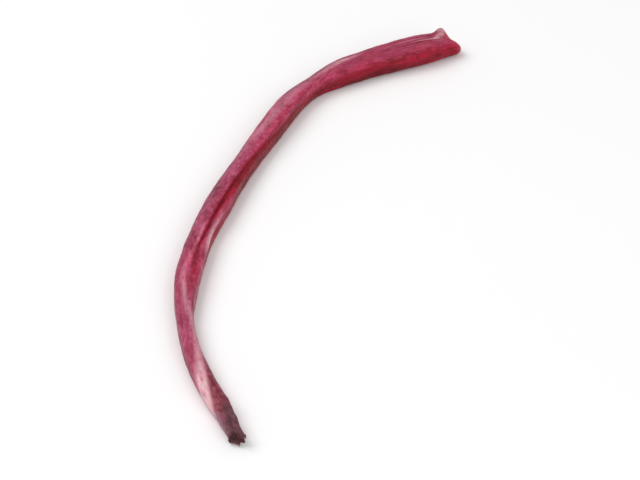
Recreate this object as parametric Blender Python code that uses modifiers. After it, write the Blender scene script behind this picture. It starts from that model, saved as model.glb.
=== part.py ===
"""A long, curved stick cut from a black salsify root, lying on its flat cut underside.

The stick is one piece of root. It is a loft along a bow that runs from the thin torn tail at -X to the
broad cut head at +X, with the bow's outer side towards +Y, and it rests on z = 0.
"""

import math
from collections import namedtuple

import bpy
import numpy as np

MM = 0.001

# The bow in plan, from the tail to the head. Each stretch is an arc with its own length and its turn to the
# right in degrees. The width and the height are the stick's where the stretch ends.
Stretch = namedtuple("Stretch", "length turn width height")
TORN_TAIL = Stretch(15 * MM, -6, 6.0 * MM, 4.8 * MM)
TAIL_NECK = Stretch(30 * MM, 16, 4.9 * MM, 4.8 * MM)
LOWER_BOW = Stretch(25 * MM, 17, 7.6 * MM, 5.4 * MM)
NOTCHED_SIDE = Stretch(30 * MM, 10, 8.4 * MM, 5.8 * MM)
WAIST = Stretch(20 * MM, 3, 7.0 * MM, 6.0 * MM)
STRAIGHT_BACK = Stretch(30 * MM, 2, 7.8 * MM, 6.2 * MM)
BEND = Stretch(15 * MM, 16, 6.2 * MM, 5.8 * MM)
SHOULDER = Stretch(17 * MM, 22, 9.2 * MM, 6.8 * MM)
BROAD_HEAD = Stretch(24 * MM, 4, 11.2 * MM, 8.0 * MM)
HEAD_END = Stretch(14 * MM, 10, 6.6 * MM, 5.6 * MM)
BOW = (TORN_TAIL, TAIL_NECK, LOWER_BOW, NOTCHED_SIDE, WAIST,
       STRAIGHT_BACK, BEND, SHOULDER, BROAD_HEAD, HEAD_END)
TAIL_WIDTH = 3.8 * MM
TAIL_HEIGHT = 3.6 * MM

TAIL_SLANT = 2.2 * MM      # how far the right side of the tail's torn face runs past its left side
HEAD_SLANT = 3.0 * MM      # how far the right side of the head's cut face runs past its left side

# The section, as shares of half the width (left is +) and of the height. It starts at the left foot and
# goes under the stick, up its right side, over its back and down its left side.
SECTION = ((0.66, 0), (0, 0), (-0.66, 0), (-0.97, 0.2), (-1, 0.5), (-0.84, 0.84),
           (-0.45, 1), (0, 1.03), (0.45, 1), (0.86, 0.82), (1, 0.48), (0.96, 0.2))
FOOT_CORNERS = (0, 2)      # the points that bound the flat underside
GROOVE_POINT = 6           # the point that the groove pushes in
GROOVE_DEPTH = 1.3 * MM
GROOVE_FADE = 14 * MM      # the groove runs out over this length past both ends of the notched side

RING_SPACING = 7 * MM      # the loft's rings are at most this far apart
CURVE_STEP = 0.1 * MM      # the bow is summed up in steps of at most this length
CAGE_SWELL = 1.03          # the cage's width, as a multiple of the smooth skin's width

FLESH = (0.42, 0.055, 0.13)


def material(name, colour, roughness):
    made = bpy.data.materials.new(name)
    made.use_nodes = True
    shader = made.node_tree.nodes["Principled BSDF"]
    shader.inputs["Base Color"].default_value = (*colour, 1)
    shader.inputs["Roughness"].default_value = roughness
    shader.inputs["Metallic"].default_value = 0.0
    return made


def joints():
    """Distances along the stick of the ends of its stretches, with the tail's end at 0."""
    return np.cumsum([0.0] + [stretch.length for stretch in BOW])


def ring_places():
    """Distances along the stick of the loft's rings, evenly spaced within each stretch."""
    ends = joints()
    places = [np.linspace(start, end, math.ceil(stretch.length / RING_SPACING), endpoint=False)
              for stretch, start, end in zip(BOW, ends[:-1], ends[1:])]
    return np.append(np.concatenate(places), ends[-1])


def eased(places, sizes):
    """A size at each place: it passes through the sizes at the joints and levels out at each of them."""
    at = np.interp(places, joints(), np.arange(len(sizes)))
    stretch = np.floor(at)
    share = at - stretch
    return np.interp(stretch + share * share * (3 - 2 * share), np.arange(len(sizes)), sizes)


def bow(places):
    """Centre points, directions and left-hand normals in plan, turned so that the two ends lie along X."""
    ends = joints()
    turned = np.radians(np.cumsum([0.0] + [stretch.turn for stretch in BOW]))
    fine = np.linspace(0, ends[-1], math.ceil(ends[-1] / CURVE_STEP))
    heading = -np.interp((fine[:-1] + fine[1:]) / 2, ends, turned)
    steps = np.diff(fine)[:, None] * np.column_stack((np.cos(heading), np.sin(heading)))
    path = np.concatenate((np.zeros((1, 2)), np.cumsum(steps, axis=0)))
    chord = math.atan2(path[-1, 1], path[-1, 0])
    to_chord = np.array(((math.cos(chord), -math.sin(chord)), (math.sin(chord), math.cos(chord))))
    centres = np.column_stack([np.interp(places, fine, axis) for axis in (path @ to_chord).T])
    heading = -np.interp(places, ends, turned) - chord
    directions = np.column_stack((np.cos(heading), np.sin(heading)))
    normals = np.column_stack((-np.sin(heading), np.cos(heading)))
    return centres, directions, normals


def groove_share(places):
    """Share of the groove's depth at each place: whole along the notched side, fading past its ends."""
    end = joints()[BOW.index(NOTCHED_SIDE) + 1]
    start = end - NOTCHED_SIDE.length
    outside = np.maximum(start - places, places - end)
    return np.clip(1 - outside / GROOVE_FADE, 0, 1)


def rings():
    """The loft's points, ring by ring from the tail, centred over the origin in plan."""
    places = ring_places()
    widths = eased(places, [TAIL_WIDTH] + [stretch.width for stretch in BOW])
    heights = eased(places, [TAIL_HEIGHT] + [stretch.height for stretch in BOW])
    centres, directions, normals = bow(places)
    across, up = np.array(SECTION).T
    left = np.outer(widths / 2, across) * CAGE_SWELL
    height = np.outer(heights, up)
    height[:, GROOVE_POINT] -= GROOVE_DEPTH * groove_share(places)
    forward = np.zeros_like(left)
    forward[0] = across * TAIL_SLANT / 2
    forward[-1] = -across * HEAD_SLANT / 2
    plan = (centres[:, None] + left[:, :, None] * normals[:, None]
            + forward[:, :, None] * directions[:, None])
    plan -= (plan.min(axis=(0, 1)) + plan.max(axis=(0, 1))) / 2
    return np.dstack((plan, height))


def root_stick():
    """The stick: a skin between the rings and a face on each end, smoothed, with its underside left flat."""
    points = rings()
    ring_count, around = points.shape[:2]
    index = np.arange(ring_count * around).reshape(ring_count, around)
    beside = np.roll(index, -1, axis=1)
    skin = np.dstack((index[:-1], index[1:], beside[1:], beside[:-1])).reshape(-1, 4)

    mesh = bpy.data.meshes.new("root_stick")
    mesh.from_pydata(points.reshape(-1, 3).tolist(), [],
                     [*skin.tolist(), index[0].tolist(), index[-1, ::-1].tolist()])
    creases = mesh.attributes.new("crease_edge", "FLOAT", "EDGE")
    for edge in mesh.edges:
        (ring, point), (next_ring, next_point) = sorted(divmod(v, around) for v in edge.vertices)
        along_foot = point == next_point and point in FOOT_CORNERS
        round_end = ring == next_ring and ring in (0, ring_count - 1)
        creases.data[edge.index].value = float(along_foot or round_end)
    mesh.shade_smooth()
    mesh.materials.append(material("salsify flesh", FLESH, roughness=0.45))

    stick = bpy.data.objects.new("root_stick", mesh)
    smooth = stick.modifiers.new("smooth", "SUBSURF")
    smooth.levels = smooth.render_levels = 1
    return stick


def main():
    for old in list(bpy.data.objects):
        bpy.data.objects.remove(old, do_unlink=True)
    parts = bpy.data.collections.new("black salsify root stick")
    bpy.context.scene.collection.children.link(parts)
    parts.objects.link(root_stick())


main()
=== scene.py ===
"""One curved stick of raw black salsify, cut lengthwise from a peeled root, lying on a pale table.

The stick is built first, then the torn strands at its tail, then the table, the lights and the camera.
Shapes are worked out in millimetres and written to the meshes in metres.
"""

import math
from collections import namedtuple

import bpy
import numpy as np
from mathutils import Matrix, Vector


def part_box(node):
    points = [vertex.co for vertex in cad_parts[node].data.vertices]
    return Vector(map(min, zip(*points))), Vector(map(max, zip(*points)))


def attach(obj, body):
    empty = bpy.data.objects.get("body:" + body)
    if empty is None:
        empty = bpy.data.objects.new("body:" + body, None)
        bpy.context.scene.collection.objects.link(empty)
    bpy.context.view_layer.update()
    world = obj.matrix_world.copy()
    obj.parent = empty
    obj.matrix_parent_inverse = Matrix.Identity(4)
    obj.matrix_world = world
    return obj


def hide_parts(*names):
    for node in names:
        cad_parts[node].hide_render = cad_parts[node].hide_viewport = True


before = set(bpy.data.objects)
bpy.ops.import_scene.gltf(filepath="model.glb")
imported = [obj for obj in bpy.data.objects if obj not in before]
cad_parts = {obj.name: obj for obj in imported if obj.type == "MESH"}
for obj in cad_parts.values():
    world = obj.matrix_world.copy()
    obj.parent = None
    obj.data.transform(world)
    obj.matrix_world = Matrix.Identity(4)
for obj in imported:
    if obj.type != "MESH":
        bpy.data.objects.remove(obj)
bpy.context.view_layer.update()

# The root stick -----------------------------------------------------------------------------------------
# One piece of raw root flesh, split off a peeled root with a knife, so that it has long flat cuts with soft
# edges between them. It has dried a little: it is bowed, its fibres stand out as fine ridges, and the inner
# side has opened in a long crease. The tail is torn through the dark rind and the head is cut across.

MM = 0.001

# The bow in plan, from the tail to the head. Each stretch is an arc with its length in mm and its turn to
# the right in degrees. The width and the height are the stick's where the stretch ends.
Stretch = namedtuple("Stretch", "length turn width height")
TORN_TAIL = Stretch(15, -6, 5.5, 4.7)
TAIL_NECK = Stretch(30, 16, 4.9, 4.8)
LOWER_BOW = Stretch(25, 17, 7.6, 5.4)
NOTCHED_SIDE = Stretch(30, 10, 8.1, 5.8)
WAIST = Stretch(20, 3, 7.0, 6.0)
STRAIGHT_BACK = Stretch(30, 2, 7.8, 6.2)
BEND = Stretch(15, 16, 6.2, 5.8)
SHOULDER = Stretch(17, 22, 9.2, 6.8)
BROAD_HEAD = Stretch(24, 4, 11.1, 7.4)
HEAD_END = Stretch(14, 10, 7.4, 5.8)
BOW = (TORN_TAIL, TAIL_NECK, LOWER_BOW, NOTCHED_SIDE, WAIST,
       STRAIGHT_BACK, BEND, SHOULDER, BROAD_HEAD, HEAD_END)
STICK_LENGTH = sum(stretch.length for stretch in BOW)
TAIL_WIDTH, TAIL_HEIGHT = 3.7, 3.5
TAIL_SLANT = 2.6            # how far the right side of the torn tail runs past its left side
TAIL_SINK = 1.1             # how deep the torn face sinks in at its middle
HEAD_STEP = 2.4             # how far one side of the cut head is cut short, and the opposite side runs on
HEAD_STEP_TURN = 52         # degrees from the left side up to the side that is cut short
STEP_SHARPNESS = 1.8        # how quickly the one turns into the other
HEAD_ROUNDING = 2.6         # the edge of the head is rounded over this length
ENDS_REACH, ENDS_FADE = 9.0, 1.5        # slants and splinters fade out over this length, by this power
LONG_SPLINTERS, SHORT_SPLINTERS = 0.40, 0.26
TAIL_LIFT, HEAD_LIFT, LIFTED_LENGTH = 0.7, 0.4, 40.0
UNDERSIDE_GAP, UNDERSIDE_HOLLOWS = 0.02, 0.12
PATH_OFF_MIDDLE = np.array((-0.79, -0.50))      # from the middle of the solid's box to that of the path's

CREASE_DEPTH, LIP_HEIGHT, NICK_DEPTH, BACK_CREASE_DEPTH = 0.95, 0.16, 0.75, 0.45
HEAD_RIDGES, RIND_LUMPS, TORN_TIP_HEIGHT = 0.07, 0.26, 1.9
FRESH_LENGTH, FRESH_EDGE = 3.4, 2.0     # the cut face's fresh colour reaches this far, with an edge this wide
TORN_TIP_DRIED = 0.8        # how much less fresh the torn tip is than the cut face

PATH_POINTS = 2200          # the bow is summed up in steps of about 0.1 mm
ROWS = 800                  # rings of points along the stick, about 0.28 mm apart
TAIL_ROWS, HEAD_ROWS = 16, 24           # rings that close the torn face and the rounded head over
RING_SPREAD = 0.8           # the power that spaces them: below 1, they crowd towards the rim
AROUND = 106                # points in each ring, about 0.24 mm apart


def eased(places, sizes):
    """A size at each place: it passes through the sizes at the stretches' ends and levels out at each."""
    ends = np.cumsum([0.0] + [stretch.length for stretch in BOW])
    at = np.interp(places, ends, np.arange(len(sizes)))
    stretch = np.minimum(np.floor(at), len(sizes) - 2)
    share = at - stretch
    return np.interp(stretch + share * share * (3 - 2 * share), np.arange(len(sizes)), sizes)


def bow_path(places):
    """Centre points, directions and left-hand normals in plan: the arcs summed up in small steps and turned
    so that the two ends lie along X, with the middle of the path's box at 0, 0."""
    ends = np.cumsum([0.0] + [stretch.length for stretch in BOW])
    turned = np.radians(np.cumsum([0.0] + [stretch.turn for stretch in BOW]))
    fine = np.linspace(0, ends[-1], PATH_POINTS)
    heading = -np.interp((fine[:-1] + fine[1:]) / 2, ends, turned)
    steps = np.diff(fine)[:, None] * np.column_stack((np.cos(heading), np.sin(heading)))
    path = np.concatenate((np.zeros((1, 2)), np.cumsum(steps, axis=0)))
    chord = math.atan2(path[-1, 1], path[-1, 0])
    path = path @ np.array(((math.cos(chord), -math.sin(chord)), (math.sin(chord), math.cos(chord))))
    path -= (path.min(axis=0) + path.max(axis=0)) / 2
    centres = np.column_stack([np.interp(places, fine, axis) for axis in path.T])
    heading = -np.interp(places, ends, turned) - chord
    directions = np.column_stack((np.cos(heading), np.sin(heading)))
    normals = np.column_stack((-np.sin(heading), np.cos(heading)))
    return centres, directions, normals


def along(places, knots, soften=4.0):
    """A value at each place: straight lines between (place, value) knots, averaged over `soften` mm."""
    at, value = np.array(knots, float).T
    return np.mean([np.interp(places + shift, at, value)
                    for shift in np.linspace(-soften, soften, 9)], axis=0)


def ripple(points, size, seed, waves=60):
    """Smooth random swell, about -1 to 1: a sum of cosines, over the root of their number, whose wave
    vectors are normally spread. A typical wave turns by 2.2 radians over `size` mm on each axis: one lump."""
    random = np.random.default_rng(seed)
    vectors = random.normal(size=(waves, 3)) * 2.2 / np.array(size)
    return np.cos(points @ vectors.T + random.uniform(0, 2 * math.pi, waves)).sum(-1) / math.sqrt(waves)


# The rows. A row's place is its distance from the tail, and its share is its size as a part of the whole
# section: 1 along the stick, and down to 0 at the middle of each end. The head's edge is rounded like a
# superellipse, advance = sin(a) ^ power and share = cos(a) ^ power, and the torn tail's face sinks in.
tail_share = np.linspace(0, 1, TAIL_ROWS, endpoint=False) ** RING_SPREAD
rounding = np.linspace(0, math.pi / 2, HEAD_ROWS)
head_share = np.clip(np.cos(rounding), 0, 1) ** RING_SPREAD
head_place = STICK_LENGTH - HEAD_ROUNDING + HEAD_ROUNDING * np.sin(rounding) ** RING_SPREAD
places = np.concatenate((TAIL_SINK * (1 - tail_share ** 2),
                         np.linspace(0, STICK_LENGTH - HEAD_ROUNDING, ROWS, endpoint=False), head_place))
shares = np.concatenate((tail_share, np.ones(ROWS), head_share))
angles = np.arange(AROUND) * 2 * math.pi / AROUND      # 0 at the left side, a quarter turn at the top
place, angle = np.meshgrid(places, angles, indexing="ij")
degrees = np.degrees(angle)

# The knife and the drying left the stick this much wider or narrower than its stretches, and moved its middle
# this much to the left, in mm, as (place, size) along the stick.
wider = along(places, ((0, -0.2), (20, -0.3), (45, 0), (65, -0.1), (84, -0.8), (99, -0.35), (114, -0.95),
                       (130, -0.5), (150, -0.6), (160, -0.3), (169, -0.65), (180, -0.6), (190, 0.1),
                       (198, 0.3), (208, 0.0), (222, 0.2)), soften=8)
leftwards = along(places, ((-4, -0.4), (8, -0.2), (20, -0.15), (35, 0.1), (48, 0.15), (60, 0), (100, 0),
                           (117, -0.1), (130, -0.1), (151, -0.2), (165, -0.2), (180, -0.45), (190, 0.0),
                           (198, 0.0), (212, -0.5), (218, 0.1), (224, 0.5)), soften=3)

# The section: knife cuts at their own angles and distances, joined by soft edges. With each cut's distance
# d and angle c, radius = sum of (cos(angle - c) / d) ^ p, to the power -1/p. The corner cuts stand off by
# their share of the box's corner, which drifts along the stick as the knife did.
half_width = (eased(places, [TAIL_WIDTH] + [stretch.width for stretch in BOW]) + wider)[:, None] / 2
half_height = eased(places, [TAIL_HEIGHT] + [stretch.height for stretch in BOW])[:, None] / 2
EDGE_SHARPNESS = 10.0
SIDE_CUTS, FLAT_CUTS = (0, 180), (94, 270)
CORNER_CUTS = (             # the cut's angle in degrees, and its (place, share of the corner) along the stick
    (44, ((0, 0.84), (30, 0.84), (60, 0.90), (100, 0.86), (140, 0.90), (165, 0.84), (185, 0.80),
          (200, 0.70), (212, 0.72), (220, 0.86))),
    (140, ((0, 0.86), (40, 0.84), (70, 0.92), (110, 0.88), (150, 0.92), (180, 0.94), (200, 0.96),
           (220, 0.86))),
    (222, ((0, 0.82), (60, 0.86), (120, 0.88), (180, 0.90), (220, 0.84))),
    (318, ((0, 0.82), (50, 0.88), (110, 0.84), (170, 0.88), (220, 0.80))),
)
cuts = [(toward, half_width) for toward in SIDE_CUTS] + [(toward, half_height) for toward in FLAT_CUTS]
for toward, standing in CORNER_CUTS:
    turn = math.radians(toward)
    corner = half_width * abs(math.cos(turn)) + half_height * abs(math.sin(turn))
    cuts.append((toward, corner * along(places, standing, soften=8)[:, None]))
radius = sum(np.maximum(np.cos(angle - math.radians(toward)) / distance, 0) ** EDGE_SHARPNESS
             for toward, distance in cuts) ** (-1 / EDGE_SHARPNESS)

# Straightened coordinates: how far along, to the left and up a point would lie with the bow pulled
# straight. The fibres run along the first of them, on the surface and in the material alike.
grain = np.stack((place, radius * shares[:, None] * np.cos(angle), radius * shares[:, None] * np.sin(angle)),
                 axis=-1)


def band(*knots, soften=3.0):
    """How strongly each point lies in a strip of the surface, 0 to 1. Knots are (place, middle in degrees,
    half width in degrees, strength). Across the strip it is exp(-(angle off the middle / half width)^2)."""
    at, middle, half, strength = np.array(knots, float).T
    middle, half, strength = (along(places, np.column_stack((at, value)), soften)[:, None]
                              for value in (middle, half, strength))
    off = (degrees - middle + 180) % 360 - 180
    return strength * np.exp(-(off / half) ** 2)


# What marks the surface. The crease on the inner side has a raised lip on its left, and a knife nick crosses
# the strip to its right. The rind covers the tail and its torn rim, and a corner of the head is torn up.
crease = band((36, 118, 12, 0), (50, 120, 12, 0.2), (60, 118, 11, 0.35), (75, 115, 11, 0.55),
              (82, 119, 12, 0.75), (90, 124, 13, 1.0), (99, 124, 14, 1.1), (110, 127, 14, 1.0),
              (117, 128, 14, 1.0), (125, 137, 14, 0.8), (134, 148, 14, 0.55), (143, 153, 14, 0.4),
              (155, 155, 13, 0.15), (170, 157, 12, 0.12), (190, 160, 12, 0.3), (214, 163, 10, 0))
lip = band((48, 92, 10, 0), (60, 92, 10, 0.8), (75, 91, 10, 1.0), (97, 95, 11, 0.8), (115, 103, 11, 0.6),
           (135, 118, 12, 0.3), (150, 125, 12, 0))
nick = band((78, 172, 30, 0), (81, 174, 30, 0.6), (84, 174, 32, 1.0), (88, 172, 32, 0.9),
            (92, 170, 28, 0.3), (96, 170, 24, 0), soften=1.5)
back_crease = band((20, 330, 8, 0), (45, 335, 8, 0.5), (95, 320, 8, 0.7), (150, 325, 8, 0.5),
                   (185, 335, 8, 0))
head_fibres = band((178, 95, 60, 0), (196, 95, 62, 0.6), (210, 95, 70, 1.0), (221, 95, 90, 1.0))
torn_tip = band((211, 58, 14, 0), (213.5, 58, 14, 0.2), (216.2, 57, 15, 1.0), (218.4, 57, 15, 0.9),
                (221, 57, 15, 0.3), soften=0.8)
rind_cover = band((-4, 120, 95, 1.2), (5, 115, 80, 1.1), (9, 116, 54, 0.95), (12.5, 128, 38, 0.45),
                  (16, 150, 30, 0.2), (20, 165, 30, 0.1), (27, 175, 28, 0))
rind_rim = band((-4, 120, 900, 1.0), (0.6, 120, 900, 0.9), (2.4, 120, 900, 0.35), (4, 120, 900, 0),
                soften=0.5)
rind = np.clip(rind_cover + rind_rim, 0, 1)

# Relief in mm, outwards: what swells over the whole skin, then the ridges at the head and the lumps of the
# rind, then the marks.
Swell = namedtuple("Swell", "height size seed waves")
SWELLS = (
    Swell(0.06, (34, 7, 7), 1, 36),             # the knife's wavering
    Swell(0.06, (8, 2.6, 2.6), 2, 36),          # dents
    Swell(0.040, (14, 0.75, 0.75), 3, 60),      # long fibres
    Swell(0.040, (3.5, 0.9, 0.9), 4, 60),       # short fibres
    Swell(0.022, (0.9, 0.8, 0.8), 5, 60),       # grit
)
relief = (sum(swell.height * ripple(grain, swell.size, swell.seed, swell.waves) for swell in SWELLS)
          + HEAD_RIDGES * head_fibres * ripple(grain, (22, 0.7, 0.7), seed=6)
          + RIND_LUMPS * rind * ripple(grain, (2.6, 1.1, 1.1), seed=7)
          - CREASE_DEPTH * crease + LIP_HEIGHT * lip - NICK_DEPTH * nick - BACK_CREASE_DEPTH * back_crease
          + TORN_TIP_HEIGHT * torn_tip)
skin_radius = (radius + relief) * shares[:, None]

# The ends. The torn face slants, and its rim runs out and back round the stick in two sizes of splinter. The
# cut face steps back by tanh of the way towards the side that is cut short.
left = skin_radius * np.cos(angle)
across = np.clip(left / half_width, -1, 1)
near_tail = np.clip(1 - place / ENDS_REACH, 0, 1) ** ENDS_FADE
near_head = np.clip(1 - (STICK_LENGTH - place) / ENDS_REACH, 0, 1) ** ENDS_FADE
round_the_rim = grain * (0, 1, 1)
splinters = (LONG_SPLINTERS * ripple(round_the_rim, (1, 1.5, 1.5), seed=8, waves=36)
             + SHORT_SPLINTERS * ripple(round_the_rim, (1, 0.5, 0.5), seed=9, waves=36))
from_step = np.cos(angle - math.radians(HEAD_STEP_TURN)) * shares[:, None]
forward = (near_tail * (across * TAIL_SLANT / 2 + splinters)
           - near_head * HEAD_STEP * np.tanh(STEP_SHARPNESS * from_step))

# The stick lies on its cut underside, which has shallow hollows. Both ends are lifted a little, as a drying
# stick lifts, by the cube of the way from where they leave the table.
lift = (TAIL_LIFT * np.clip(1 - place / LIFTED_LENGTH, 0, 1) ** 3
        + HEAD_LIFT * np.clip(1 - (STICK_LENGTH - place) / LIFTED_LENGTH, 0, 1) ** 3)
underside = UNDERSIDE_GAP + UNDERSIDE_HOLLOWS * np.maximum(ripple(grain, (9, 2, 2), seed=10, waves=36), 0)
height = np.maximum(half_height + skin_radius * np.sin(angle), underside) + lift

centres, directions, normals = bow_path(places)
plan = (centres[:, None] + (left + leftwards[:, None])[..., None] * normals[:, None]
        + forward[..., None] * directions[:, None])
node_low, node_high = (np.array(corner)[:2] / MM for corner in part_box("root_stick"))
plan += (node_low + node_high) / 2 + PATH_OFF_MIDDLE
skin = np.concatenate((plan, height[..., None]), axis=-1)


def tube_mesh(name, rings, uv_name):
    """A closed skin over rings of points, (rings, points round, 3) in mm, which run round the left, the top
    and the right. The first and the last ring are each drawn together into one point in their middle, and
    the map runs from 0 to 1 along and around."""
    count, around = rings.shape[:2]
    inner = rings[1:-1]
    poles = rings[[0, -1]].mean(axis=1)
    vertices = np.concatenate((inner.reshape(-1, 3), poles)) * MM
    index = np.arange((count - 2) * around).reshape(count - 2, around)
    beside = np.roll(index, -1, axis=1)
    sides = np.stack((index[:-1], beside[:-1], beside[1:], index[1:]), axis=-1).reshape(-1, 4)
    first, last = np.full(around, len(vertices) - 2), np.full(around, len(vertices) - 1)
    tail_fan = np.stack((first, beside[0], index[0]), axis=-1)
    head_fan = np.stack((last, index[-1], beside[-1]), axis=-1)
    made = bpy.data.meshes.new(name)
    made.from_pydata(vertices.tolist(), [], sides.tolist() + tail_fan.tolist() + head_fan.tolist())

    row, column = np.mgrid[0:count - 3, 0:around]
    corners = np.stack((np.stack((row, row, row + 1, row + 1), -1),
                        np.stack((column, column + 1, column + 1, column), -1)), -1).reshape(-1, 2)
    step = np.arange(around)
    ends = [np.stack((np.stack((np.full(around, at), np.full(around, rim), np.full(around, rim)), -1),
                      np.stack((step + 0.5, step + one, step + 1 - one), -1)), -1).reshape(-1, 2)
            for at, rim, one in ((-1, 0, 1), (count - 2, count - 3, 0))]
    laid = (np.concatenate((corners + (1, 0), *[end + (1, 0) for end in ends])) / (count - 1, around))
    made.uv_layers.new(name=uv_name).uv.foreach_set("vector", laid.astype(np.float32).ravel())
    made.shade_smooth()
    return made


def paint(made, name, values):
    """Stores a number, or three, at each ring point. Each pole takes the mean of its ring."""
    inner = values[1:-1].reshape(-1, *values.shape[2:])
    filled = np.concatenate((inner, values[[0, -1]].mean(axis=1))).astype(np.float32)
    kind = ("FLOAT", "value") if filled.ndim == 1 else ("FLOAT_VECTOR", "vector")
    made.attributes.new(name, kind[0], "POINT").data.foreach_set(kind[1], filled.ravel())


stick_mesh = tube_mesh("root_stick_flesh", skin, "lengthwise")
paint(stick_mesh, "grain", grain)

# Where each tissue of the flesh shows, and how strongly. Pale flesh lies behind the tail and along the lip of
# the crease, crimson in the crease and down the inner flank, and vivid and red flesh on the back and the
# head. Brick red, and mauve at the tail, are where the outer layer dried, beside the rind. The rest is rose.
# Part of this paint is light and shade: pale paint up the top and along the lip is a painted highlight,
# crimson in the crease and on the lower right flank is painted shade, mauve along the upper left edge is a
# painted sheen, and the rim and crease darkening below are painted shade.
shown = {
    # pale flesh behind the tail, at the nick and at the head's torn tip, and a painted highlight up the top,
    # along the lip of the crease and along the upper ridge
    "pale_and_highlight": band((8, 6, 44, 0), (12, 6, 44, 1.2), (17, 24, 46, 1.6), (22, 64, 43, 0.92), (28, 98, 38, 0.60),
                 (35, 126, 27, 0.48), (43, 138, 24, 0.48), (50, 116, 28, 0.50), (57, 90, 27, 0.50),
                 (63, 66, 22, 0.44), (70, 74, 18, 0.22), (76, 88, 14, 0.3), (82, 95, 11, 0.5),
                 (88, 92, 10, 0.2), (94, 92, 10, 0))
            + band((72, 145, 12, 0), (78, 152, 15, 0.55), (83, 158, 23, 1.15), (89, 154, 15, 0.6),
                   (95, 148, 10, 0.2), (104, 142, 10, 0))
            + band((126, 80, 24, 0), (136, 82, 26, 0.3), (152, 86, 26, 0.34), (166, 84, 24, 0.3),
                   (175, 80, 18, 0.45), (181, 72, 14, 0.65), (187, 66, 10, 0.3), (192, 66, 10, 0))
            + band((199, 97, 4, 0), (206, 99, 4.5, 0.5), (212, 99, 7, 0.8), (215, 80, 18, 0.7),
                   (216.5, 62, 25, 0.85), (219, 58, 27, 1.0), (223, 58, 30, 0.9), soften=1.2)
            + band((186, 80, 4, 0), (196, 80, 3.5, 0.4), (208, 82, 4, 0.4), (214, 84, 4, 0), soften=1.5)
            + band((112, 62, 14, 0), (120, 66, 14, 0.22), (132, 60, 16, 0.25), (146, 66, 14, 0.15),
                   (154, 64, 12, 0))
            + band((30, 250, 40, 0), (60, 255, 40, 0.3), (100, 260, 40, 0.15), (150, 255, 40, 0.3),
                   (190, 255, 40, 0)),
    # crimson flesh, and painted shade in the crease and down the lower right flank
    "crimson_and_shade": band((52, 114, 12, 0), (60, 128, 18, 0.65), (70, 124, 18, 0.7), (78, 112, 14, 0.7),
                    (88, 122, 12, 0.9), (98, 124, 15, 1.1), (108, 136, 24, 1.1), (118, 142, 26, 1.1),
                    (126, 152, 26, 1.1), (138, 164, 24, 1.0), (152, 184, 24, 0.6), (167, 188, 24, 0.7),
                    (176, 184, 30, 0.9), (185, 178, 32, 1.0), (205, 184, 33, 1.0), (221, 185, 40, 0.7))
               + band((20, 190, 36, 0), (45, 195, 34, 0.5), (80, 195, 32, 0.8), (120, 200, 40, 1.0),
                      (160, 210, 46, 0.9), (200, 218, 46, 0.9), (222, 215, 60, 0.8))
               + band((40, 70, 14, 0), (45, 66, 15, 0.35), (50, 62, 12, 0)),
    "vivid": band((48, 76, 22, 0), (58, 78, 26, 0.8), (72, 84, 26, 0.9), (84, 108, 18, 0.5),
                  (98, 108, 16, 0.5), (115, 112, 22, 0.6), (132, 124, 28, 0.9), (145, 136, 34, 1.0),
                  (165, 140, 36, 1.0), (178, 140, 36, 0.8), (195, 140, 40, 0.7), (221, 140, 50, 0.6))
             + band((30, 140, 30, 0), (60, 150, 30, 0.5), (100, 160, 34, 0.6), (140, 180, 40, 0.6),
                    (180, 190, 40, 0)),
    "head_red": band((150, 95, 50, 0), (166, 98, 44, 0.4), (182, 95, 62, 0.9), (200, 95, 80, 1.1),
                     (221, 95, 120, 1.0)),
    # mauve dried skin beside the rind at the tail, and a painted sheen along the upper left edge further up
    "mauve_and_sheen": band((-2, 0, 62, 1.2), (5, 2, 62, 1.2), (9, 8, 50, 1.0), (12, 10, 40, 0.5), (15, -10, 34, 0))
             + band((56, 24, 16, 0), (78, 44, 22, 0.35), (100, 52, 26, 0.45), (116, 50, 30, 0.45),
                    (128, 44, 28, 0.4), (138, 46, 20, 0))
             + band((146, 55, 13, 0), (156, 60, 16, 0.6), (170, 64, 16, 0.6), (180, 62, 14, 0.5),
                    (188, 58, 10, 0)),
    "brick": band((4, 60, 50, 0), (8, 62, 48, 1.0), (11, 78, 46, 1.15), (16, 104, 38, 1.3),
                  (20, 119, 29, 1.2), (25, 138, 21, 0.8), (30, 142, 17, 0.4), (36, 144, 15, 0))
             + band((47, 150, 13, 0), (51, 143, 14, 0.8), (57, 144, 12, 0.6), (64, 150, 12, 0.2),
                    (68, 152, 12, 0)),
    "rind": rind,
    "fibrous": head_fibres,
    # painted shade along the left rim and down the lower right flank, and dark streaks along the top of the
    # head
    "rim_shade_and_head_streaks": band((22, 4, 22, 0), (30, 10, 26, 1.0), (45, 17, 26, 1.2), (58, 22, 22, 0.8),
                       (80, 30, 20, 0.5), (120, 38, 20, 0.4), (140, 40, 20, 0))
                  + band((184, 88, 3, 0), (192, 88, 3, 0.5), (210, 90, 3, 0.6), (217, 90, 3, 0))
                  + band((190, 107, 3, 0), (198, 107, 3, 0.6), (208, 110, 3, 0.5), (214, 112, 3, 0))
                  + band((176, 118, 3, 0), (186, 120, 3, 0.5), (200, 124, 4, 0.5), (212, 126, 4, 0))
                  + band((92, 178, 20, 0), (105, 178, 30, 0.8), (125, 176, 34, 1.0), (142, 184, 30, 1.0),
                         (158, 196, 26, 0.7), (180, 198, 28, 0.9), (205, 204, 26, 0.6), (222, 210, 30, 0)),
    "fresh_cut": (np.clip((place - (STICK_LENGTH - FRESH_LENGTH)) / FRESH_EDGE, 0, 1)
                  * (1 - TORN_TIP_DRIED * np.clip(torn_tip, 0, 1))),
    # painted shade: the crease, the nick and the back crease are darkened where shade falls in them
    "depth": crease + nick + back_crease,
}
for name, strength in shown.items():
    paint(stick_mesh, name, np.clip(strength, 0, 1))

root_stick = bpy.data.objects.new("root_stick_flesh", stick_mesh)
bpy.context.scene.collection.objects.link(root_stick)


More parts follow.
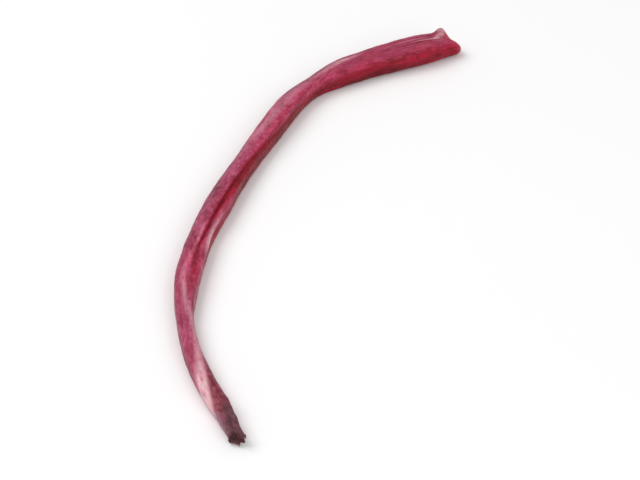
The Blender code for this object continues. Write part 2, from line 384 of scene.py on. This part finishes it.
def linear(code):
    """An sRGB hex colour as linear red, green, blue and alpha."""
    channels = np.array([int(code[at:at + 2], 16) for at in (1, 3, 5)]) / 255
    low, high = channels / 12.92, ((channels + 0.055) / 1.055) ** 2.4
    return (*np.where(channels <= 0.04045, low, high).tolist(), 1.0)


def add(tree, kind, inputs, **settings):
    """Adds a node with its settings. Each input takes a value, or a link where it is given a socket."""
    made = tree.nodes.new(kind)
    for name, value in settings.items():
        setattr(made, name, value)
    for socket, value in inputs.items():
        if isinstance(value, bpy.types.NodeSocket):
            tree.links.new(value, made.inputs[socket])
        else:
            made.inputs[socket].default_value = value
    return made


# Raw root flesh: wet plant tissue, cut with a knife and slightly dried. It gives a soft wet sheen over a
# colour that glows from inside, mottled along the fibres, with threads of lighter and darker tissue.
flesh = bpy.data.materials.new("cut root flesh")
flesh.use_nodes = True
tree = flesh.node_tree
shader = tree.nodes["Principled BSDF"]
fibre_way = add(tree, "ShaderNodeAttribute", {}, attribute_name="grain").outputs["Vector"]
share_of = {name: add(tree, "ShaderNodeAttribute", {}, attribute_name=name).outputs["Fac"]
            for name in shown}


def grown(size, detail, roughness=0.5):
    """Noise that is drawn out along the fibres: lumps of `size` mm along, across and up, from 0 to 1."""
    lumps_per_mm = tuple(1 / length for length in size)
    drawn_out = add(tree, "ShaderNodeMapping", {"Vector": fibre_way, "Scale": lumps_per_mm}).outputs["Vector"]
    return add(tree, "ShaderNodeTexNoise", {"Vector": drawn_out, "Scale": 1.0, "Detail": detail,
                                            "Roughness": roughness}).outputs["Fac"]


def mottled(growth, start, end, first, second):
    """Two colours of one tissue: the first where the growth is below `start`, the second above `end`."""
    way = add(tree, "ShaderNodeMapRange", {"Value": growth, "From Min": start, "From Max": end},
              interpolation_type="SMOOTHSTEP").outputs["Result"]
    return add(tree, "ShaderNodeMix", {0: way, 6: linear(first), 7: linear(second)},
               data_type="RGBA").outputs[2]


mottle = grown((9, 3.0, 3.0), detail=3.0)
cloud = grown((30, 5, 5), detail=2.0)
threads = grown((24, 0.55, 0.55), detail=3.0, roughness=0.6)
fine_threads = grown((9, 0.22, 0.22), detail=2.0)
grit = grown((1.5, 0.8, 0.8), detail=3.0, roughness=0.6)
blotch = grown((3.6, 1.7, 1.7), detail=3.0, roughness=0.6)
ragged = grown((5, 1.3, 1.3), detail=4.0, roughness=0.6)

# The tissues, from the rose flesh under all of them to the fresh cut. Each covers what came before it where
# it is painted, by up to `cover`, and the ragged noise breaks up its edge. Each is mottled in two colours.
Tissue = namedtuple("Tissue", "name edge cover growth start end first second")
TISSUES = (
    Tissue("vivid", 0.5, 0.9, mottle, 0.36, 0.64, "#C03A62", "#A42444"),
    Tissue("head_red", 0.5, 0.8, mottle, 0.36, 0.64, "#A4304A", "#A03456"),
    # crimson flesh, which is also painted shade in the crease and on the lower right flank
    Tissue("crimson_and_shade", 0.55, 1.0, mottle, 0.3, 0.7, "#B40C34", "#88001C"),
    # mauve dried skin, which is also a painted sheen along the upper left edge
    Tissue("mauve_and_sheen", 0.6, 0.85, mottle, 0.35, 0.65, "#8F6A78", "#7A5C66"),
    # pale flesh, which is also a painted highlight up the top and along the lip of the crease
    Tissue("pale_and_highlight", 0.5, 0.95, ragged, 0.42, 0.72, "#EBC0C2", "#C77D92"),
    Tissue("brick", 0.6, 0.9, cloud, 0.5, 0.8, "#762430", "#6A3E44"),
    Tissue("rind", 0.5, 1.0, grit, 0.35, 0.62, "#7A4C50", "#40222A"),
    Tissue("fresh_cut", 0.3, 0.85, mottle, 0.3, 0.7, "#BC2442", "#BC2442"),
)
COVERED_FROM, COVERED_TO = 0.08, 0.92
rose = mottled(mottle, 0.34, 0.66, "#B64E70", "#A03456")
deep_wine = add(tree, "ShaderNodeMapRange", {"Value": cloud, "From Min": 0.45, "From Max": 0.75,
                                             "To Max": 0.45},
                interpolation_type="SMOOTHSTEP").outputs["Result"]
colour = add(tree, "ShaderNodeMix", {0: deep_wine, 6: rose, 7: linear("#8C2242")},
             data_type="RGBA").outputs[2]
raggedness = add(tree, "ShaderNodeMath", {0: ragged, 1: 0.5}, operation="SUBTRACT").outputs[0]
for tissue in TISSUES:
    torn = add(tree, "ShaderNodeMath", {0: raggedness, 1: tissue.edge, 2: share_of[tissue.name]},
               operation="MULTIPLY_ADD").outputs[0]
    covered = add(tree, "ShaderNodeMapRange", {"Value": torn, "From Min": COVERED_FROM,
                                               "From Max": COVERED_TO, "To Max": tissue.cover},
                  interpolation_type="SMOOTHSTEP").outputs["Result"]
    own = mottled(tissue.growth, tissue.start, tissue.end, tissue.first, tissue.second)
    colour = add(tree, "ShaderNodeMix", {0: covered, 6: colour, 7: own}, data_type="RGBA").outputs[2]

# How much the threads and flecks show: threads most on the head and pale ones not on the crimson paint with
# its painted shade, light flecks hardly on that or on red flesh, and dark blotches hardly on the pale paint
# with its painted highlight.
on_fibres = add(tree, "ShaderNodeMath", {0: share_of["fibrous"], 1: 0.70, 2: 0.22},
                operation="MULTIPLY_ADD").outputs[0]
off_crimson = add(tree, "ShaderNodeMath", {0: share_of["crimson_and_shade"], 1: -0.85, 2: 1.0},
                  operation="MULTIPLY_ADD").outputs[0]
on_pale_fibres = add(tree, "ShaderNodeMath", {0: on_fibres, 1: off_crimson}, operation="MULTIPLY").outputs[0]
reds = add(tree, "ShaderNodeMath", {0: share_of["crimson_and_shade"], 1: share_of["head_red"]},
           operation="MAXIMUM").outputs[0]
off_reds = add(tree, "ShaderNodeMath", {0: reds, 1: -0.85, 2: 1.0}, operation="MULTIPLY_ADD").outputs[0]
off_pale = add(tree, "ShaderNodeMath", {0: share_of["pale_and_highlight"], 1: -0.7, 2: 1.0},
               operation="MULTIPLY_ADD").outputs[0]

# Threads, specks and shades that lie over the tissues. Each shows from where its growth passes `start`, fully
# from `end` on, and either covers the colour or, as a shade, darkens it.
Speck = namedtuple("Speck", "growth start end cover where colour way")
SPECKS = (
    Speck(threads, 0.50, 0.72, 1.0, on_fibres, (0.52, 0.36, 0.38, 1), "MULTIPLY"),
    Speck(threads, 0.50, 0.30, 0.4, on_pale_fibres, linear("#C77D92"), "MIX"),
    Speck(fine_threads, 0.50, 0.75, 0.25, 1.0, (0.62, 0.50, 0.54, 1), "MULTIPLY"),
    Speck(blotch, 0.50, 0.68, 0.24, off_reds, linear("#C77D92"), "MIX"),
    Speck(blotch, 0.50, 0.32, 0.75, off_pale, (0.60, 0.46, 0.52, 1), "MULTIPLY"),
    Speck(grit, 0.50, 0.70, 0.24, off_reds, linear("#D893A6"), "MIX"),
    Speck(grit, 0.50, 0.32, 0.42, 1.0, (0.62, 0.48, 0.55, 1), "MULTIPLY"),
    # painted shade, darkening the crease, the nick and the back crease
    Speck(share_of["depth"], 0.30, 1.0, 0.75, 1.0, (0.60, 0.22, 0.34, 1), "MULTIPLY"),
)
for speck in SPECKS:
    showing = add(tree, "ShaderNodeMapRange", {"Value": speck.growth, "From Min": speck.start,
                                               "From Max": speck.end, "To Max": speck.cover},
                  interpolation_type="SMOOTHSTEP").outputs["Result"]
    share = add(tree, "ShaderNodeMath", {0: showing, 1: speck.where}, operation="MULTIPLY").outputs[0]
    colour = add(tree, "ShaderNodeMix", {0: share, 6: colour, 7: speck.colour}, data_type="RGBA",
                 blend_type=speck.way).outputs[2]
# Painted shade along the left rim and the lower right flank, with the dark streaks on the head's top, darkens
# the colour.
colour = add(tree, "ShaderNodeMix", {0: share_of["rim_shade_and_head_streaks"], 6: colour, 7: (0.50, 0.28, 0.38, 1)},
             data_type="RGBA", blend_type="MULTIPLY").outputs[2]

# Wet flesh is glossy in places, and the dry rind is dull. Threads and grit stand out by up to 0.2 mm.
wetness = add(tree, "ShaderNodeMapRange", {"Value": ragged, "From Min": 0.35, "From Max": 0.7, "To Min": 0.30,
                                           "To Max": 0.50}, interpolation_type="SMOOTHSTEP").outputs["Result"]
roughness = add(tree, "ShaderNodeMath", {0: share_of["rind"], 1: 0.32, 2: wetness},
                operation="MULTIPLY_ADD").outputs[0]
coarse = add(tree, "ShaderNodeMath", {0: grit, 1: 0.8, 2: threads}, operation="MULTIPLY_ADD").outputs[0]
hills = add(tree, "ShaderNodeMath", {0: fine_threads, 1: 0.6, 2: coarse}, operation="MULTIPLY_ADD").outputs[0]
dents = add(tree, "ShaderNodeBump", {"Height": hills, "Strength": 0.9, "Distance": 0.2 * MM})

tree.links.new(colour, shader.inputs["Base Color"])
tree.links.new(roughness, shader.inputs["Roughness"])
tree.links.new(dents.outputs["Normal"], shader.inputs["Normal"])
shader.inputs["Metallic"].default_value = 0.0
shader.inputs["IOR"].default_value = 1.39
shader.inputs["Subsurface Weight"].default_value = 0.22
shader.inputs["Subsurface Radius"].default_value = (1.0, 0.22, 0.30)
shader.inputs["Subsurface Scale"].default_value = 1.2 * MM
shader.inputs["Specular IOR Level"].default_value = 0.30
stick_mesh.materials.append(flesh)

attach(root_stick, "root")
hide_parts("root_stick")

# The torn strands ---------------------------------------------------------------------------------------
# Fibres of the dark rind and the flesh under it that were pulled out as the tail tore: stiff, dry and a few
# tenths of a mm thick. They stand out of the torn face, and their roots are buried in it.
STRANDS = 46
STRAND_RINGS, STRAND_SIDES = 9, 8
ROOT_DEPTH = 0.5            # how far a strand starts behind the torn face
SHORTEST, LONGEST = 0.4, 1.3
THINNEST, THICKEST = 0.10, 0.26         # the strands' radii at their roots
SPLAY_IN, SPLAY_OUT = 0.08, 0.16        # how far a strand leans inwards or outwards, over its own length
SWAY, BENDING = 0.10, 0.14
TAPER, FLATNESS = 0.75, 0.7
KNOBS, KNOB_TURN = 0.18, 9  # how much a strand swells and narrows, and by how many radians of a sine
LOWEST = 0.06               # strands are pressed flat against the table from this height down

random = np.random.default_rng(11)
rooted_row = random.integers(TAIL_ROWS // 3, TAIL_ROWS + 3, STRANDS)
rooted_column = random.integers(0, AROUND, STRANDS)
root_point = skin[rooted_row, rooted_column]
outwards = root_point - skin[0].mean(axis=0)
outwards /= np.linalg.norm(outwards, axis=1, keepdims=True)
tailwards = np.array((*-directions[0], 0.0))
strand_length = random.uniform(SHORTEST, LONGEST, STRANDS) + ROOT_DEPTH
strand_radius = random.uniform(THINNEST, THICKEST, STRANDS)
splay = random.uniform(-SPLAY_IN, SPLAY_OUT, STRANDS)
sway = random.normal(0.0, SWAY, (STRANDS, 3))
strand_way = tailwards + splay[:, None] * outwards + sway
strand_way /= np.linalg.norm(strand_way, axis=1, keepdims=True)

# Each strand's middle line bends a little as it goes. It tapers as 1 - taper times the square of the way out,
# swells and narrows along its length as a sine, and is flatter than it is wide.
out = np.linspace(0, 1, STRAND_RINGS)[None, :, None]
middle = (root_point[:, None] - ROOT_DEPTH * tailwards
          + strand_way[:, None] * out * strand_length[:, None, None]
          + random.normal(0.0, BENDING, (STRANDS, 1, 3)) * out ** 2 * strand_length[:, None, None])
aside = np.cross(strand_way, (0.0, 0.0, 1.0))
aside /= np.linalg.norm(aside, axis=1, keepdims=True)
upward = np.cross(aside, strand_way)
turn = np.arange(STRAND_SIDES) * 2 * math.pi / STRAND_SIDES
thickness = strand_radius[:, None] * (1 - TAPER * out[..., 0] ** 2)
thickness *= 1 + KNOBS * np.sin(out[..., 0] * KNOB_TURN + np.arange(STRANDS)[:, None])
round_it = (np.cos(turn)[:, None] * aside[:, None, None]
            + FLATNESS * np.sin(turn)[:, None] * upward[:, None, None])
strand_skin = middle[:, :, None] + thickness[:, :, None, None] * round_it
strand_skin[..., 2] = np.maximum(strand_skin[..., 2], LOWEST)

strand_count = STRANDS * STRAND_RINGS * STRAND_SIDES
strand_index = np.arange(strand_count).reshape(STRANDS, STRAND_RINGS, STRAND_SIDES)
strand_beside = np.roll(strand_index, -1, axis=2)
strand_sides = np.stack((strand_index[:, :-1], strand_index[:, 1:], strand_beside[:, 1:],
                         strand_beside[:, :-1]), axis=-1).reshape(-1, 4)
end_index = strand_count + np.arange(2 * STRANDS).reshape(2, STRANDS, 1)
root_fan = np.stack((np.broadcast_to(end_index[0], (STRANDS, STRAND_SIDES)), strand_index[:, 0],
                     strand_beside[:, 0]), axis=-1).reshape(-1, 3)
tip_fan = np.stack((np.broadcast_to(end_index[1], (STRANDS, STRAND_SIDES)), strand_beside[:, -1],
                    strand_index[:, -1]), axis=-1).reshape(-1, 3)
strand_points = np.concatenate((strand_skin.reshape(-1, 3), strand_skin[:, 0].mean(axis=1),
                                strand_skin[:, -1].mean(axis=1)))
strand_mesh = bpy.data.meshes.new("torn_strands")
strand_mesh.from_pydata((strand_points * MM).tolist(), [],
                        strand_sides.tolist() + root_fan.tolist() + tip_fan.tolist())
strand_mesh.shade_smooth()
torn_strands = bpy.data.objects.new("torn_strands", strand_mesh)
bpy.context.scene.collection.objects.link(torn_strands)

# Dry root fibre: torn plant fibre, weathered dull brown, with paler lengths of about a mm where the flesh
# still clings, and dust on it of about 0.2 mm.
fibre = bpy.data.materials.new("dry root fibre")
fibre.use_nodes = True
fibre_tree = fibre.node_tree
fibre_shader = fibre_tree.nodes["Principled BSDF"]
fibre_place = add(fibre_tree, "ShaderNodeTexCoord", {}).outputs["Object"]
clinging = add(fibre_tree, "ShaderNodeTexNoise", {"Vector": fibre_place, "Scale": 0.9 / MM, "Detail": 2.0})
dust = add(fibre_tree, "ShaderNodeTexNoise", {"Vector": fibre_place, "Scale": 5.0 / MM, "Detail": 2.0})
fibre_brown = add(fibre_tree, "ShaderNodeMix", {0: clinging.outputs["Fac"], 6: linear("#3A2026"),
                                                7: linear("#7C5254")}, data_type="RGBA").outputs[2]
fibre_colour = add(fibre_tree, "ShaderNodeMix", {0: 0.35, 6: fibre_brown, 7: dust.outputs["Fac"]},
                   data_type="RGBA", blend_type="SOFT_LIGHT").outputs[2]
fibre_tree.links.new(fibre_colour, fibre_shader.inputs["Base Color"])
fibre_shader.inputs["Roughness"].default_value = 0.75
fibre_shader.inputs["Specular IOR Level"].default_value = 0.3
strand_mesh.materials.append(fibre)

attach(torn_strands, "root")

# The table ----------------------------------------------------------------------------------------------
# A large matt white board, painted with a roller, that the stick lies on. It is flat, and its paint is very
# slightly cloudy.
TABLE_SIDE = 6.0
table_step = np.linspace(-TABLE_SIDE / 2, TABLE_SIDE / 2, 3)
table_x, table_y = np.meshgrid(table_step, table_step, indexing="ij")
table_points = np.stack((table_x, table_y, np.zeros_like(table_x)), axis=-1).reshape(-1, 3)
table_index = np.arange(9).reshape(3, 3)
table_faces = np.stack((table_index[:-1, :-1], table_index[1:, :-1], table_index[1:, 1:],
                        table_index[:-1, 1:]), axis=-1).reshape(-1, 4)
table_mesh = bpy.data.meshes.new("table")
table_mesh.from_pydata(table_points.tolist(), [], table_faces.tolist())
table = bpy.data.objects.new("table", table_mesh)
bpy.context.scene.collection.objects.link(table)

board = bpy.data.materials.new("matt white board")
board.use_nodes = True
board_tree = board.node_tree
board_shader = board_tree.nodes["Principled BSDF"]
board_place = add(board_tree, "ShaderNodeTexCoord", {}).outputs["Object"]
cloudy = add(board_tree, "ShaderNodeTexNoise", {"Vector": board_place, "Scale": 6.0}).outputs["Fac"]
board_colour = add(board_tree, "ShaderNodeMix", {0: cloudy, 6: linear("#F6F6F6"), 7: linear("#F9F8F8")},
                   data_type="RGBA").outputs[2]
board_tree.links.new(board_colour, board_shader.inputs["Base Color"])
board_shader.inputs["Roughness"].default_value = 0.7
board_shader.inputs["Specular IOR Level"].default_value = 0.25
table_mesh.materials.append(board)

# The lights ---------------------------------------------------------------------------------------------
# A white room, one wide soft box high above and behind the stick, and a weaker one in front on the left.
Lamp = namedtuple("Lamp", "name place side power")


def soft_box(lamp):
    """A square area light at the lamp's place in metres, turned towards the stick."""
    light = bpy.data.lights.new(lamp.name, "AREA")
    light.shape = "SQUARE"
    light.size = lamp.side
    light.energy = lamp.power
    made = bpy.data.objects.new(lamp.name, light)
    made.location = lamp.place
    made.rotation_euler = (-made.location).to_track_quat("-Z", "Y").to_euler()
    bpy.context.scene.collection.objects.link(made)


soft_box(Lamp("key_box", (-0.15, 0.95, 1.25), 1.1, 13.0))
soft_box(Lamp("fill_box", (-0.75, -0.95, 0.85), 0.9, 6.0))

room = bpy.data.worlds.new("white room")
room.use_nodes = True
room.node_tree.nodes["Background"].inputs["Color"].default_value = (1.0, 1.0, 1.0, 1.0)
room.node_tree.nodes["Background"].inputs["Strength"].default_value = 0.58
bpy.context.scene.world = room
bpy.context.scene.view_settings.view_transform = "Standard"

# The camera ---------------------------------------------------------------------------------------------
# It looks down on the stick from the side of its hollow and its tail.
AIM = np.array((-16.89, -14.24, 4.0)) * MM
AZIMUTH, ELEVATION, DISTANCE = math.radians(-70.49), math.radians(38.0), 0.540
back = np.array((math.sin(AZIMUTH) * math.cos(ELEVATION), -math.cos(AZIMUTH) * math.cos(ELEVATION),
                 math.sin(ELEVATION)))
camera = bpy.data.objects.new("camera", bpy.data.cameras.new("camera"))
camera.data.sensor_width = 36.0
camera.data.lens = 108.25
camera.data.clip_start, camera.data.clip_end = 0.02, 20.0
camera.location = AIM + back * DISTANCE
camera.rotation_euler = Vector(-back).to_track_quat("-Z", "Y").to_euler()
bpy.context.scene.collection.objects.link(camera)
bpy.context.scene.camera = camera
